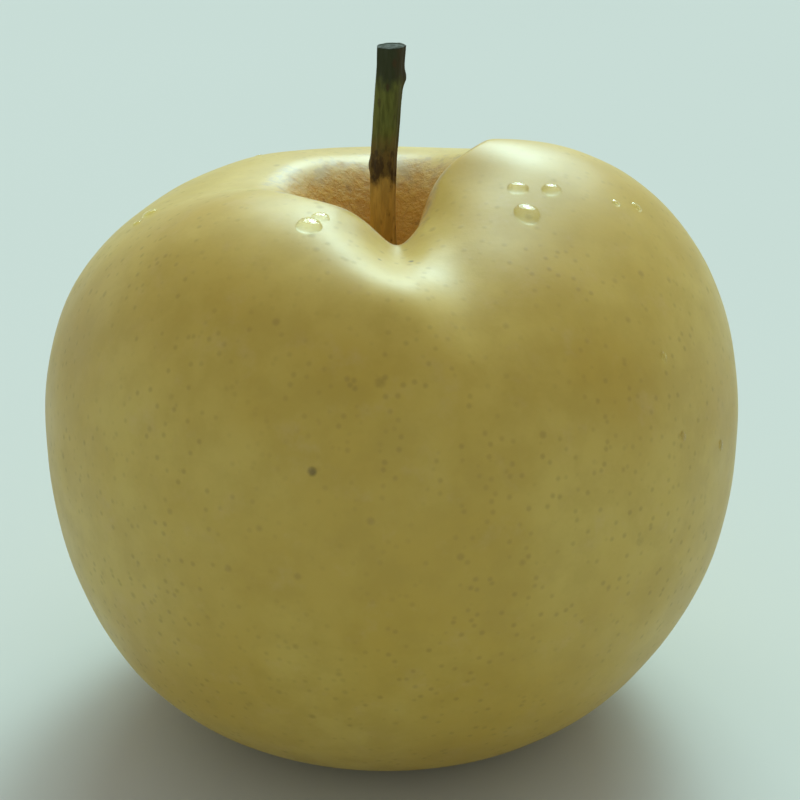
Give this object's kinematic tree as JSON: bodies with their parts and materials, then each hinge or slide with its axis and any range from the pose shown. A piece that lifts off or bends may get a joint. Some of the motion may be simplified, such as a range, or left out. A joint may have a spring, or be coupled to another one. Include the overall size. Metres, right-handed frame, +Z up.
{
  "type": "pear",
  "caption": "Round Asian pear with a deep stem cavity, creased shoulders and a straight woody stem, resting on a flat ring round its calyx.",
  "frame": {"origin": "middle of the fruit's box on the plane that it rests on", "axes": "+Z up along the fruit's axis towards the stem, -Y towards the crease in the shoulder, +X towards the higher shoulder"},
  "size_m": [0.088, 0.088, 0.0871],
  "materials": {
    "skin": "thin waxy skin, pale yellow-green with fine brown lenticels, russet in the stem cavity",
    "stem_wood": "rough dry bark, darker at the cut top"
  },
  "bodies": {
    "root": {"fruit": "skin", "stem": "stem_wood"}
  },
  "joints": []
}
